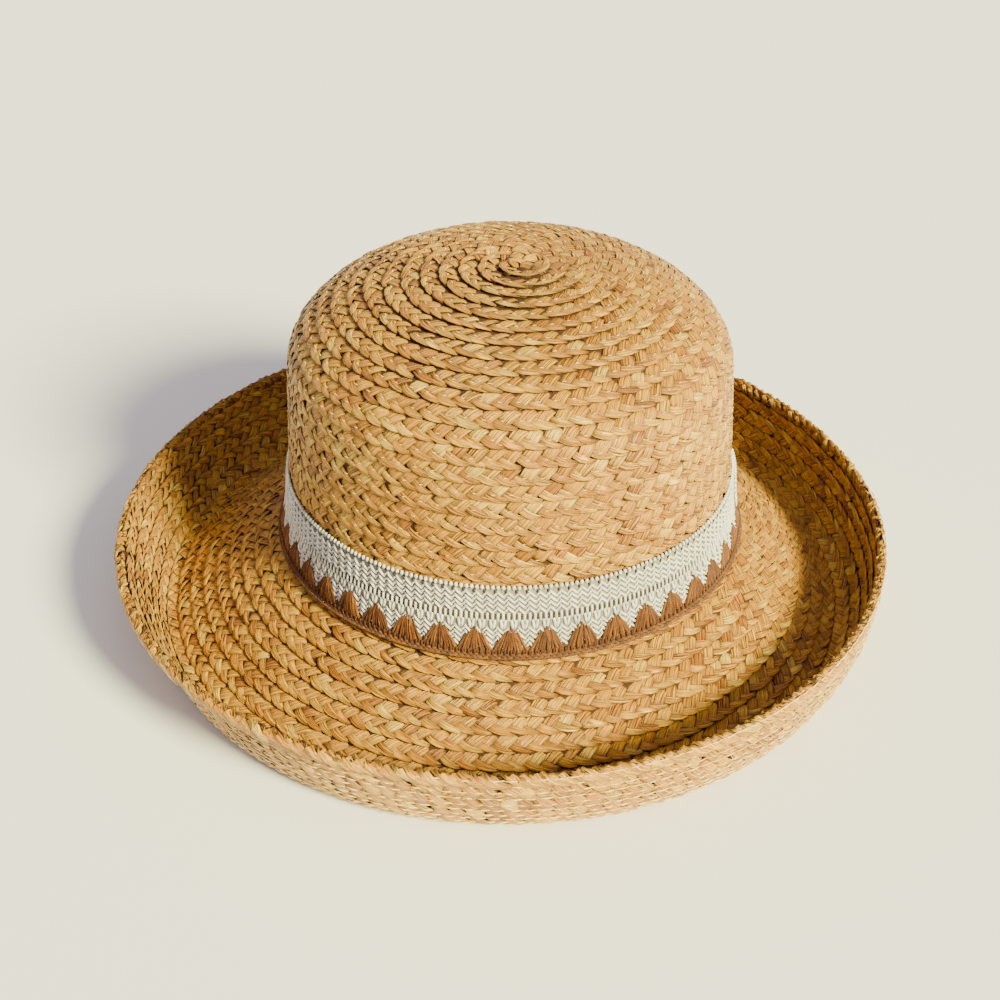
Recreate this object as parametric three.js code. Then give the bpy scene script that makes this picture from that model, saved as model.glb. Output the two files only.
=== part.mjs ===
// Raffia hat: a domed crown and a rolled-up brim, both sewn from a spiral of flat braid,
// with a tape band round the foot of the crown and a scalloped trim along the tape.
// Millimetres, +Z up. The hat rests on the plane z = 0, centred on its rim.

import * as THREE from "three";
import { mergeVertices } from "three/addons/utils/BufferGeometryUtils.js";

// Driving dimensions: the brim
const rimRadius = 167; // outside of the turned-up rim
const rimHeight = 37.6; // top of the rim over the surface
const rimBead = 3.4; // thickness of the last row of braid, at the rim
const brimRowPitch = 6.95; // one row of braid to the next
const seatHeight = 36; // flat inner edge that the crown stands on
const seatWidth = 3.4;
const restWidth = 7; // flat ring pressed into the brim where it rests
const restPress = 0.5; // how deep that ring is pressed
const rollTuck = 5; // how far the rolled edge's outside is drawn in where it bulges least
const tuckAzimuth = 205; // degrees, at the left front
const tuckFocus = 5; // exponent: a higher one keeps the drawn-in part shorter
const tuckRun = 4; // distance over which it sets in, outside the ring it rests on

// Driving dimensions: the crown
const crownBaseRadius = 96.3; // outside, at the foot
const shoulderRadius = 91.7; // outside, where the side turns into the dome
const shoulderHeight = 114.5;
const crownHeight = 156.2; // top of the crown over the surface
const crownRowPitch = 7.2;
const crownShift = 4; // the crown stands this far to the right of the rim's centre
const domeFullness = 2.12; // exponent of the dome's outline, 2 is an ellipse

// Driving dimensions: the braid and the clearances
const braidThickness = 2.4;
const braidStep = 0.7; // how far the edge of one row laps over the next
const stepRun = 0.9; // length of that edge along the wall
const clearance = 0.3;

// Driving dimensions: the tape band and its trim
const bandHeight = 30.5;
const bandThickness = 1.2;
const bandFoot = 1; // foot of the tape over the foot of the crown
const lapAngle = 12; // degrees of tape that lap at the join
const lapAzimuth = -3; // degrees, middle of the lap
const lapThickness = 1;
const lapDrop = 1; // top of the lapped end below the top of the tape
const fanCount = 44;
const fanPeak = 12.5; // height of a fan over the foot of the trim
const fanValley = 5.5; // height of the trim between two fans
const fanRoundness = 0.62; // exponent of a fan's rounded outline
const trimThickness = 1.4;

// How fine the faceted solids are
const ringColumns = 40;
const bandColumns = 60;
const fanColumns = 4;
const linerRows = 14;

// Brim outline, from the seat to the rim. reach is a share of the way out to the rim,
// fall a share of the seat's height still left, rise a share of the rim's height gained.
const brimSections = [
  { reach: 0.0, fall: 1.0, rise: 0.0 },
  { reach: 0.159, fall: 0.806, rise: 0.0 },
  { reach: 0.308, fall: 0.612, rise: 0.0 },
  { reach: 0.456, fall: 0.4, rise: 0.0 },
  { reach: 0.59, fall: 0.203, rise: 0.0 },
  { reach: 0.701, fall: 0.059, rise: 0.0 },
  { reach: 0.776, fall: 0.0, rise: 0.0 },
  { reach: 0.845, fall: 0.0, rise: 0.045 },
  { reach: 0.905, fall: 0.0, rise: 0.174 },
  { reach: 0.946, fall: 0.0, rise: 0.329 },
  { reach: 0.976, fall: 0.0, rise: 0.503 },
  { reach: 0.991, fall: 0.0, rise: 0.691 },
  { reach: 0.997, fall: 0.0, rise: 0.871 },
  { reach: 1.0, fall: 0.0, rise: 1.0 },
];
const restReach = 0.772; // where the brim is lowest, on the same scale as reach
const rollShare = 0.53; // share of the brim's rows that slope, before the rolled edge

// Derived sizes
const crownFoot = seatHeight + clearance;
const seatInner = crownBaseRadius - braidThickness;
const seatOuter = seatInner + seatWidth;
const rimInner = rimRadius - braidThickness;
const trough = braidThickness - restPress;
const restRadius = seatOuter + restReach * (rimInner - seatOuter);
const bandBottom = crownFoot + bandFoot;
const bandTop = crownFoot + bandHeight;

const straw = new THREE.MeshStandardMaterial({ color: 0xc8955a, roughness: 0.72, metalness: 0 });
const cotton = new THREE.MeshStandardMaterial({ color: 0xe1ded7, roughness: 0.9, metalness: 0 });
const yarn = new THREE.MeshStandardMaterial({ color: 0xa9683a, roughness: 0.88, metalness: 0 });

// Closed solid from a list of equal sections, each a closed loop of points. A loop that
// returns on itself is wrapped, and one that runs from axis to axis is left open there.
function solidFromSections(sections, { ringed, onAxis }) {
  const count = sections[0].length;
  const spans = ringed ? sections.length : sections.length - 1;
  const sides = onAxis ? count - 1 : count;
  const faces = [];
  for (let s = 0; s < spans; s += 1) {
    const here = s * count;
    const next = ((s + 1) % sections.length) * count;
    for (let i = 0; i < sides; i += 1) {
      const j = (i + 1) % count;
      const startsAtPole = onAxis && i === 0;
      const endsAtPole = onAxis && i === sides - 1;
      if (!endsAtPole) {
        faces.push(here + i, next + j, here + j);
      }
      if (!startsAtPole) {
        faces.push(here + i, next + i, next + j);
      }
    }
  }
  if (!ringed) {
    addCap(faces, 0, count, false);
    addCap(faces, spans * count, count, true);
  }
  return closedGeometry(sections.flat(), faces);
}

// Fan of triangles over one end of an open run of sections
function addCap(faces, first, count, flipped) {
  for (let i = 1; i < count - 1; i += 1) {
    if (flipped) {
      faces.push(first, first + i + 1, first + i);
    } else {
      faces.push(first, first + i, first + i + 1);
    }
  }
}

// Geometry with welded vertices and its faces turned out
function closedGeometry(points, faces) {
  let volume = 0;
  for (let f = 0; f < faces.length; f += 3) {
    const [a, b, c] = [points[faces[f]], points[faces[f + 1]], points[faces[f + 2]]];
    volume += a.dot(new THREE.Vector3().crossVectors(b, c));
  }
  if (volume < 0) {
    faces.reverse();
  }
  const geometry = new THREE.BufferGeometry().setFromPoints(points);
  geometry.setIndex(faces);
  const welded = mergeVertices(geometry, 1e-4);
  welded.computeVertexNormals();
  return welded;
}

// Point at a radius, height and angle round an axis that stands at shift on X
function around(radius, height, angle, shift) {
  return new THREE.Vector3(shift + radius * Math.cos(angle), radius * Math.sin(angle), height);
}

// Sections of a profile of (radius, height) points turned once round the hat
function turned(profile, columns, shiftAt, tuckAt = () => 0) {
  return Array.from({ length: columns }, (_, c) => {
    const angle = (2 * Math.PI * c) / columns;
    return profile.map((p) => around(p.x - tuckAt(p, angle), p.y, angle, shiftAt(p.x)));
  });
}

// Point at a length along a curve, moved off it square to the wall
function offsetPoint(curve, length, distance) {
  const share = THREE.MathUtils.clamp(length / curve.getLength(), 0, 1);
  const point = curve.getPointAt(share);
  const along = curve.getTangentAt(share);
  return new THREE.Vector2(point.x - along.y * distance, point.y + along.x * distance);
}

// Sideways place of the brim's centre: the crown's at the seat, the rim's own at the rim
function brimShift(radius) {
  const reach = (radius - seatInner) / (rimRadius - seatInner);
  return crownShift * (1 - THREE.MathUtils.clamp(reach, 0, 1));
}

// How far a point of the rolled edge is drawn in: most at half height, at the left front
function rollTuckAt(point, angle) {
  const height = THREE.MathUtils.clamp(point.y / rimHeight, 0, 1);
  const bulge = Math.sin(Math.PI * height ** 0.75);
  const start = THREE.MathUtils.smoothstep(point.x, restRadius, restRadius + tuckRun);
  const turn = angle - THREE.MathUtils.degToRad(tuckAzimuth);
  return rollTuck * bulge * start * ((1 + Math.cos(turn)) / 2) ** tuckFocus;
}

// The brim's upper face as one smooth curve
function brimCurve() {
  const points = brimSections.map(({ reach, fall, rise }) => new THREE.Vector2(
    seatOuter + reach * (rimInner - seatOuter),
    trough + fall * (seatHeight - trough) + rise * (rimHeight - trough),
  ));
  return new THREE.SplineCurve(points);
}

// The brim's rows of braid along its curve, and the row where the rolled edge begins
function brimLayout() {
  const curve = brimCurve();
  const rows = Math.round(curve.getLength() / brimRowPitch);
  const rollRow = Math.round(rows * rollShare);
  return { curve, rows, rollRow, pitch: curve.getLength() / rows };
}

// One face of the brim between two rows: each row of braid is a slanted strip, low at its
// inner edge and proud at its outer edge, so both faces step where the rows lap.
function brimFace({ curve, rows, rollRow, pitch }, from, to, depth, rimDepth) {
  const face = [];
  for (let row = from; row < to; row += 1) {
    const last = row === rows - 1;
    const base = last ? rimDepth : depth;
    const lift = row === 0 ? 0 : -braidStep / 2;
    const endLift = last ? 0 : braidStep / 2;
    const lapped = row === rollRow ? clearance : stepRun;
    face.push(offsetPoint(curve, row * pitch + (row === 0 ? 0 : lapped), base + lift));
    face.push(offsetPoint(curve, (row + 1) * pitch, base + endLift));
  }
  return face;
}

// The sloping part of the brim, with the flat seat that the crown stands on
function makeBrim() {
  const layout = brimLayout();
  const profile = [
    new THREE.Vector2(seatInner, seatHeight),
    ...brimFace(layout, 0, layout.rollRow, 0, 0),
    ...brimFace(layout, 0, layout.rollRow, -braidThickness, -braidThickness).reverse(),
    new THREE.Vector2(seatInner, seatHeight - braidThickness),
  ];
  return solidFromSections(turned(profile, ringColumns, brimShift), { ringed: true, onAxis: false });
}

// The rolled-up edge of the brim, pressed flat where it rests and thicker at its last row
function makeBrimRoll() {
  const layout = brimLayout();
  const halfRest = restWidth / 2;
  const { rows, rollRow } = layout;
  const under = brimFace(layout, rollRow, rows, -braidThickness, -braidThickness)
    .filter((p) => Math.abs(p.x - restRadius) > halfRest + stepRun || p.y > rimHeight / 2)
    .map((p) => new THREE.Vector2(p.x, Math.max(p.y, 0)));
  const split = under.findIndex((p) => p.x > restRadius);
  under.splice(
    split,
    0,
    new THREE.Vector2(restRadius - halfRest, 0),
    new THREE.Vector2(restRadius + halfRest, 0),
  );
  const profile = [
    ...brimFace(layout, rollRow, rows, 0, rimBead - braidThickness),
    ...under.reverse(),
  ];
  const sections = turned(profile, ringColumns, brimShift, rollTuckAt);
  return solidFromSections(sections, { ringed: true, onAxis: false });
}

// Outer radius of the crown's straight side at a height
function crownRadius(height) {
  const share = (height - crownFoot) / (shoulderHeight - crownFoot);
  return crownBaseRadius + share * (shoulderRadius - crownBaseRadius);
}

// The crown's outer face, from its tip down to its foot
function crownCurve() {
  const domeSteps = 14;
  const points = [];
  for (let i = 0; i <= domeSteps; i += 1) {
    const turn = (Math.PI / 2) * (i / domeSteps);
    const out = Math.sin(turn) ** (2 / domeFullness);
    const up = Math.cos(turn) ** (2 / domeFullness);
    points.push(new THREE.Vector2(
      shoulderRadius * out,
      shoulderHeight + (crownHeight - shoulderHeight) * Math.max(up, 0),
    ));
  }
  const sideSteps = 5;
  for (let i = 1; i <= sideSteps; i += 1) {
    const height = shoulderHeight + (crownFoot - shoulderHeight) * (i / sideSteps);
    points.push(new THREE.Vector2(crownRadius(height), height));
  }
  return new THREE.SplineCurve(points);
}

function makeCrown() {
  const curve = crownCurve();
  const length = curve.getLength();
  const shown = length - bandHeight;
  const rows = Math.round(shown / crownRowPitch);
  const pitch = shown / rows;
  const outer = [new THREE.Vector2(0, crownHeight)];
  for (let row = 0; row < rows; row += 1) {
    if (row > 0) {
      outer.push(offsetPoint(curve, row * pitch + stepRun, -braidStep));
    }
    outer.push(offsetPoint(curve, (row + 1) * pitch, 0));
  }
  outer.push(offsetPoint(curve, shown + stepRun, -braidStep));
  outer.push(new THREE.Vector2(crownBaseRadius - braidStep, crownFoot));
  const wall = braidThickness;
  const liner = [new THREE.Vector2(0, crownHeight - wall)];
  for (let row = 1; row < linerRows; row += 1) {
    liner.push(offsetPoint(curve, (length * row) / linerRows, -wall));
  }
  liner.push(new THREE.Vector2(crownBaseRadius - wall, crownFoot));
  const profile = [...outer, ...liner.reverse()];
  const sections = turned(profile, ringColumns, () => crownShift);
  return solidFromSections(sections, { ringed: true, onAxis: true });
}

// Rectangle standing on the crown's side, between two heights and two distances off it
function standingSection(angle, foot, top, inner, outer) {
  return [
    around(crownRadius(foot) + inner, foot, angle, crownShift),
    around(crownRadius(foot) + outer, foot, angle, crownShift),
    around(crownRadius(top) + outer, top, angle, crownShift),
    around(crownRadius(top) + inner, top, angle, crownShift),
  ];
}

function makeBand() {
  const sections = Array.from({ length: bandColumns }, (_, c) => {
    const angle = (2 * Math.PI * c) / bandColumns;
    return standingSection(angle, bandBottom, bandTop, clearance, clearance + bandThickness);
  });
  return solidFromSections(sections, { ringed: true, onAxis: false });
}

// The lapped end of the tape, over the band where its two ends join
function makeLap() {
  const steps = Math.max(2, Math.round((bandColumns * lapAngle) / 360) * 2);
  const inner = 2 * clearance + bandThickness;
  const foot = crownFoot + fanPeak + clearance;
  const sections = Array.from({ length: steps + 1 }, (_, c) => {
    const angle = THREE.MathUtils.degToRad(lapAzimuth + lapAngle * (c / steps - 0.5));
    return standingSection(angle, foot, bandTop - lapDrop, inner, inner + lapThickness);
  });
  return solidFromSections(sections, { ringed: false, onAxis: false });
}

// Brown trim along the foot of the tape: a ring whose top rises in rounded fans
function makeTrim() {
  const inner = 2 * clearance + bandThickness;
  const columns = fanCount * fanColumns;
  const sections = Array.from({ length: columns }, (_, c) => {
    const angle = (2 * Math.PI * c) / columns;
    const swell = Math.sin((Math.PI * (c % fanColumns)) / fanColumns) ** fanRoundness;
    const top = crownFoot + fanValley + (fanPeak - fanValley) * swell;
    return standingSection(angle, crownFoot, top, inner, inner + trimThickness);
  });
  return solidFromSections(sections, { ringed: true, onAxis: false });
}

function named(name, geometry, material) {
  const mesh = new THREE.Mesh(geometry, material);
  mesh.name = name;
  return mesh;
}

const group = new THREE.Group();
group.add(
  named("crown", makeCrown(), straw),
  named("brim", makeBrim(), straw),
  named("brim_roll", makeBrimRoll(), straw),
  named("band", makeBand(), cotton),
  named("band_lap", makeLap(), cotton),
  named("scallop_trim", makeTrim(), yarn),
);

export default group;
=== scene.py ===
# %% [markdown]
# # A sewn raffia hat
# The hat is one long flat plait of raffia, coiled in a spiral from the tip of the crown to the
# rim and sewn row over row. A woven cotton tape with a scalloped trim goes round its crown.
# This lesson dresses the plain solids of the frame: every strand that shows becomes a small
# closed mesh, placed by arrays of numbers, because no bump map gives a plait its outline.

# %% Load the frame
import math

import bpy
import numpy as np
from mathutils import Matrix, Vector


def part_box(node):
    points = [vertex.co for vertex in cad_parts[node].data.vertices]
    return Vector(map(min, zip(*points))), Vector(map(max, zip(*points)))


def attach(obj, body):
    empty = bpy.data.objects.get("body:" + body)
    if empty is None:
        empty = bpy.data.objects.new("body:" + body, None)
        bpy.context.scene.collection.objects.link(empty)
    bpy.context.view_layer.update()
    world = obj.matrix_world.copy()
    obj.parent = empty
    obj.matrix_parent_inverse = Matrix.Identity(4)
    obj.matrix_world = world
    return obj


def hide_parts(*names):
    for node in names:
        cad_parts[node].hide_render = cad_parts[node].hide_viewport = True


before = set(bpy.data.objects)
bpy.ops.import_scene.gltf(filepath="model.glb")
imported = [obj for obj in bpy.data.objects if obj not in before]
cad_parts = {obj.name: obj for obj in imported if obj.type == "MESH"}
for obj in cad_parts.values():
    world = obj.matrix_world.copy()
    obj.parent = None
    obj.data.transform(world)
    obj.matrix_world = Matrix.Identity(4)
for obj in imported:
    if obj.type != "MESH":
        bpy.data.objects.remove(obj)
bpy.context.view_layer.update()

MM = 0.001
SEED = 7

# %% [markdown]
# ## Sizes read from the frame
# The solids already hold the hat's real sizes, so the seat, rim, crown and tape are measured
# from their boxes. Only what a box can't tell is named here: the wall's thickness, the step at
# the foot of the crown, the flat seat and the width of the plait, all in millimetres.

# %% Measure the solids, in millimetres
brim_low, brim_high = (np.array(corner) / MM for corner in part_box("brim"))
roll_low, roll_high = (np.array(corner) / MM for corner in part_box("brim_roll"))
crown_low, crown_high = (np.array(corner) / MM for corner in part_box("crown"))
band_low, band_high = (np.array(corner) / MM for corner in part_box("band"))
trim_low, trim_high = (np.array(corner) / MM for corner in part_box("scallop_trim"))

WALL = 2.4
CLEARANCE = 0.3
BRAID_STEP = 0.7
SIDE_TAPER = 4.6
SEAT_WIDTH = 3.4
REST_PRESS = 0.5
RIM_RADIUS = (roll_high[1] - roll_low[1]) / 2
RIM_HEIGHT = roll_high[2]
SEAT_HEIGHT = brim_high[2]
CROWN_SHIFT = (crown_high[0] + crown_low[0]) / 2
CROWN_FOOT = crown_low[2]
CROWN_TOP = crown_high[2]
BAND_FOOT = band_low[2]
BAND_TOP = band_high[2]
TRIM_PEAK = trim_high[2] - trim_low[2]
BASE_RADIUS = (crown_high[1] - crown_low[1]) / 2 + BRAID_STEP
SHOULDER_RADIUS = BASE_RADIUS - SIDE_TAPER
SHOULDER_HEIGHT = 114.5
DOME_FULLNESS = 2.12
SEAT_INNER = BASE_RADIUS - WALL
SEAT_OUTER = SEAT_INNER + SEAT_WIDTH
TROUGH = WALL - REST_PRESS
CROWN_PITCH = 7.2
BRIM_PITCH = 6.95
print("rim radius", round(RIM_RADIUS, 1), "crown radius", round(BASE_RADIUS, 1))

# %% [markdown]
# ## The walls as curves
# Each wall of the hat is a profile turned round the crown's axis. A wall is kept as a fine
# polyline with its length along it, so that a strand can be laid by three numbers: how far
# along the wall, how far round the hat, and how high off the surface. Blender's Screw
# modifier would turn the same profile, but it gives no such places to lay strands on.

# %% Wall class
class Wall:
    """A profile turned round the hat. along, angle and lift give a point on or off it."""

    def __init__(self, radius, height, shift, drop=0.0, face=1.0, tuck=None):
        step = np.hypot(np.diff(radius), np.diff(height))
        self.along = np.concatenate([[0], np.cumsum(step)])
        self.length = self.along[-1]
        slope_r = np.gradient(radius, self.along)
        slope_z = np.gradient(height, self.along)
        size = np.hypot(slope_r, slope_z)
        self.normal_r = -slope_z / size * face
        self.normal_z = slope_r / size * face
        self.radius = radius + self.normal_r * drop
        self.height = height + self.normal_z * drop
        self.shift = shift
        self.tuck = tuck

    def radius_at(self, along):
        return np.interp(along, self.along, self.radius)

    def point(self, along, angle, lift):
        along = np.clip(along, 0, self.length)
        radius = np.interp(along, self.along, self.radius)
        height = np.interp(along, self.along, self.height)
        offset = self.shift(along, radius)
        if self.tuck is not None:
            radius = radius - self.tuck(radius, height, angle)
        radius = radius + np.interp(along, self.along, self.normal_r) * lift
        height = height + np.interp(along, self.along, self.normal_z) * lift
        return np.stack(
            [offset + radius * np.cos(angle), radius * np.sin(angle), height], axis=-1
        )


# %% Smooth profiles
def smooth_curve(points, samples=700):
    """Catmull-Rom curve through points, as evenly spaced samples."""
    points = np.asarray(points, float)
    ends = np.vstack([2 * points[0] - points[1], points, 2 * points[-1] - points[-2]])
    t = np.linspace(0, 1, 24, endpoint=False)[:, None]
    parts = []
    for i in range(len(points) - 1):
        a, b, c, d = ends[i:i + 4]
        parts.append(
            0.5 * (2 * b + (c - a) * t + (2 * a - 5 * b + 4 * c - d) * t**2
                   + (3 * b - a - 3 * c + d) * t**3)
        )
    line = np.vstack(parts + [points[-1:]])
    along = np.concatenate([[0], np.cumsum(np.hypot(*np.diff(line, axis=0).T))])
    even = np.linspace(0, along[-1], samples)
    return np.interp(even, along, line[:, 0]), np.interp(even, along, line[:, 1])


# %% Profiles of brim and crown
# reach is a share of the way out to the rim, fall a share of the seat's height still left,
# rise a share of the rim's height gained
BRIM_SECTIONS = (
    # reach, fall, rise
    (0.000, 1.000, 0.000),
    (0.159, 0.806, 0.000),
    (0.308, 0.612, 0.000),
    (0.456, 0.400, 0.000),
    (0.590, 0.203, 0.000),
    (0.701, 0.059, 0.000),
    (0.776, 0.000, 0.000),
    (0.845, 0.000, 0.045),
    (0.905, 0.000, 0.174),
    (0.946, 0.000, 0.329),
    (0.976, 0.000, 0.503),
    (0.991, 0.000, 0.691),
    (0.997, 0.000, 0.871),
    (1.000, 0.000, 1.000),
)


def brim_profile():
    inner = RIM_RADIUS - WALL
    rows = np.array(BRIM_SECTIONS)
    radius = SEAT_OUTER + rows[:, 0] * (inner - SEAT_OUTER)
    height = TROUGH + rows[:, 1] * (SEAT_HEIGHT - TROUGH) + rows[:, 2] * (RIM_HEIGHT - TROUGH)
    return smooth_curve(np.column_stack([radius, height]))


DOME_POINTS = 60
SIDE_POINTS = 20


def side_radius(height):
    """Outer radius of the crown's straight side."""
    share = (height - CROWN_FOOT) / (SHOULDER_HEIGHT - CROWN_FOOT)
    return BASE_RADIUS + share * (SHOULDER_RADIUS - BASE_RADIUS)


def crown_profile():
    turn = np.linspace(0, math.pi / 2, DOME_POINTS)
    radius = SHOULDER_RADIUS * np.sin(turn) ** (2 / DOME_FULLNESS)
    height = SHOULDER_HEIGHT + (CROWN_TOP - SHOULDER_HEIGHT) * np.cos(turn) ** (2 / DOME_FULLNESS)
    side = np.linspace(SHOULDER_HEIGHT, CROWN_FOOT, SIDE_POINTS)[1:]
    return smooth_curve(
        np.column_stack([np.append(radius, side_radius(side)), np.append(height, side)])
    )


# %% [markdown]
# ## What keeps the hat from being a plain turned shape
# The crown stands a little to the right of the rim's centre, its tip still further, and the
# rolled edge leans in at the left front. All are small functions that a wall calls for each
# point, so that a strand follows them by itself. Editing the finished mesh would bend the
# strands too, but it would have to be done again after each change of a size.

# %% Shifts and tuck
TIP_SHIFT = 3.7
TIP_REACH = 80.0
REST_REACH = 0.772
REST_RADIUS = SEAT_OUTER + REST_REACH * (RIM_RADIUS - WALL - SEAT_OUTER)
REST_LIFT = 0.9
REST_SPREAD = 9.0
ROLL_TUCK = 6.5
TUCK_TURN = math.radians(205)
TUCK_FOCUS = 5
TUCK_RUN = 4.0
TUCK_SKEW = 0.75


def smooth_step(share):
    return share * share * (3 - 2 * share)


def roll_tuck(radius, height, angle):
    """How far the rolled edge is drawn in: most at half height, at the left front."""
    bulge = np.sin(math.pi * np.clip(height / RIM_HEIGHT, 0, 1) ** TUCK_SKEW)
    start = smooth_step(np.clip((radius - REST_RADIUS) / TUCK_RUN, 0, 1))
    lobe = ((1 + np.cos(angle - TUCK_TURN)) / 2) ** TUCK_FOCUS
    return ROLL_TUCK * bulge * start * lobe


def brim_shift(along, radius):
    reach = np.clip((radius - SEAT_INNER) / (RIM_RADIUS - SEAT_INNER), 0, 1)
    return CROWN_SHIFT * (1 - reach)


def crown_shift(along, radius):
    return CROWN_SHIFT + TIP_SHIFT * smooth_step(1 - np.clip(along / TIP_REACH, 0, 1))


def foot_shift(along, radius):
    return CROWN_SHIFT + 0 * radius


def no_shift(along, radius):
    return 0 * radius


# %% The four walls
brim_upper = Wall(*brim_profile(), brim_shift, tuck=roll_tuck)

# The underside is drawn up at the ring that the hat rests on, to make room for its strands
rest_bump = np.exp(-((brim_profile()[0] - REST_RADIUS) / REST_SPREAD) ** 2)
under_drop = WALL - REST_LIFT * rest_bump
brim_under = Wall(*brim_profile(), brim_shift, drop=under_drop, face=-1.0, tuck=roll_tuck)
crown_outer = Wall(*crown_profile(), crown_shift)
crown_inner = Wall(*crown_profile(), crown_shift, drop=WALL, face=-1.0)
print("crown wall", round(crown_outer.length, 1), "brim wall", round(brim_upper.length, 1))

# %% [markdown]
# ## One way to make a mesh
# All strands of a piece share one mesh. Numpy builds its points and faces in one go, which
# takes a fraction of a second where an operator for each strand would take minutes. Each
# point also carries its strand's tint and its painted shade, darker where the strand passes
# under its neighbours, for the materials to read.

# %% Mesh from arrays
def mesh_piece(name, points, quads, uv=None, values=None):
    """points (n, 3) in millimetres, quads (m, 4); uv and values are given for each point."""
    mesh = bpy.data.meshes.new(name)
    quads = np.ascontiguousarray(quads, dtype=np.int32)
    mesh.vertices.add(len(points))
    mesh.vertices.foreach_set("co", (points * MM).astype(np.float32).ravel())
    mesh.loops.add(quads.size)
    mesh.loops.foreach_set("vertex_index", quads.ravel())
    mesh.polygons.add(len(quads))
    mesh.polygons.foreach_set("loop_start", np.arange(0, quads.size, 4, dtype=np.int32))
    mesh.update(calc_edges=True)
    mesh.shade_smooth()
    if uv is not None:
        layer = mesh.uv_layers.new(name="strand")
        layer.data.foreach_set("uv", uv[quads.ravel()].astype(np.float32).ravel())
    for key, value in (values or {}).items():
        attribute = mesh.attributes.new(key, "FLOAT", "POINT")
        attribute.data.foreach_set("value", value.astype(np.float32))
    piece = bpy.data.objects.new(name, mesh)
    bpy.context.scene.collection.objects.link(piece)
    print(name, len(quads) * 2, "triangles")
    return piece


# %% Closed tubes and rings
def tube_faces(count, stations, ring):
    """Quads of count closed tubes, each of stations rings with an even number of points."""
    a = np.arange(stations - 1)[:, None] * ring + np.arange(ring)[None, :]
    b = np.arange(stations - 1)[:, None] * ring + (np.arange(ring)[None, :] + 1) % ring
    sides = np.stack([a, b, b + ring, a + ring], axis=-1).reshape(-1, 4)
    caps = []
    for i in range(ring // 2 - 1):
        near = [i, i + 1, ring - 2 - i, ring - 1 - i]
        far = [(stations - 1) * ring + k for k in near]
        caps.append(near[::-1])
        caps.append(far)
    faces = np.vstack([sides, np.array(caps)])
    starts = np.arange(count)[:, None, None] * (stations * ring)
    return (faces[None] + starts).reshape(-1, 4)


def turned_piece(name, radius, height, shift, tuck=None, columns=120):
    """A closed loop of (radius, height) points turned round the hat."""
    count = len(radius)
    angle = np.linspace(0, 2 * math.pi, columns, endpoint=False)[:, None]
    offset = shift(np.zeros_like(radius), radius)
    if tuck is not None:
        radius = radius - tuck(radius, height, angle)
    points = np.stack(
        [offset + radius * np.cos(angle), radius * np.sin(angle),
         np.broadcast_to(height, (columns, count))], axis=-1
    )
    here = np.arange(columns)[:, None] * count
    beside = ((np.arange(columns) + 1) % columns)[:, None] * count
    low = np.arange(count)[None]
    high = (low + 1) % count
    quads = np.stack([here + low, beside + low, beside + high, here + high], axis=-1)
    return mesh_piece(name, points.reshape(-1, 3), quads.reshape(-1, 4))


# %% [markdown]
# ## The plait
# Laid flat, a raffia plait shows two columns of slanted ribbons that cross down its middle.
# Sewn into a hat, the inner column runs up under the row before it and shows as plump
# lozenges, while the outer column bends along the free edge and laps over the next row. Each
# ribbon is a thin closed tube here, dived at the ends where it passes under its neighbours.
# A curve with a bevel could draw one ribbon well, but an array lays thousands at once.

# %% Ribbon sections
# Each section is a ring of points: how far across the ribbon, and how high
SECTIONS = {
    "fine": (np.array([-1, -0.76, 0, 0.76, 1, 0.0]), np.array([0, 0.78, 1.0, 0.78, 0, -0.6])),
    "plain": (np.array([-1.0, 0.0, 1.0, 0.0]), np.array([0.0, 1.0, 0.0, -0.5])),
}

# %% Ribbon shapes
# Lengths in millimetres on a row of SHAPE_PITCH: run goes along the row, back is where it
# starts, first and last are the ends' places across the row (inwards is negative), half_width
# and plump are the ribbon's own, dives are how deep its ends pass under, tilt raises one side,
# bend below 1 lets it follow the edge, and end_width is the share of its width left at the end
SHAPE_PITCH = 7.0
LOZENGE = {
    "run": 7.0, "back": 1.2, "first": 1.7, "last": -4.6, "half_width": 3.05,
    "plump": 0.4, "bend": 0.95, "dive_first": 0.9, "dive_last": 0.5, "tilt": 0.32,
    "end_width": 1.0,
}
EDGE_RIBBON = {
    "run": 11.4, "back": 1.9, "first": -2.6, "last": 2.75, "half_width": 1.9,
    "plump": 0.42, "bend": 0.62, "dive_first": 1.1, "dive_last": 0.7, "tilt": -0.2,
    "end_width": 0.4,
}


# %% How much ribbons differ
# Shares of a shape's own value, then lengths in millimetres
VARY = {"run": 0.15, "half_width": 0.17, "plump": 0.35, "first": 0.3, "last": 0.07}
VARY_BACK = 0.75
VARY_TILT = 0.26
VARY_LIFT = 0.1
VARY_PLACE = 0.12


def varied(shape, key, count, rng):
    return shape[key] * (1 + VARY[key] * rng.uniform(-1, 1, count))[:, None, None]


def spread(amount, count, rng):
    return amount * rng.uniform(-1, 1, (count, 1, 1))


# %% Lay a column of ribbons
TAPER_START = 0.17
TAPER_POWER = 0.3
DIVE_FIRST_END = 0.32
DIVE_LAST_START = 0.7
DIVE_POWER = 1.5
LAP_LEVEL = 0.1
# Painted shade: how deep a dive gives the darkest end, and how dark a ribbon's side edges are
# painted
PAINTED_SHADE_DIVE = 0.9
PAINTED_SHADE_SIDE = 0.22
TEXTURE_SPAN = 40
LEAST_RADIUS = 4.0


def dive_at(t, shape):
    """How deep a ribbon passes under its neighbours, at its start and at its end."""
    first = np.clip(1 - t / DIVE_FIRST_END, 0, 1) ** DIVE_POWER
    last = np.clip((t - DIVE_LAST_START) / (1 - DIVE_LAST_START), 0, 1) ** DIVE_POWER
    return shape["dive_first"] * first + shape["dive_last"] * last


def taper_at(t, shape):
    """Share of its full width that a ribbon has along its run."""
    ends = np.clip(TAPER_START + (1 - 2 * TAPER_START) * t, 0, 1)
    return np.sin(ends * math.pi) ** TAPER_POWER * (1 - (1 - shape["end_width"]) * t**2)


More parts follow.
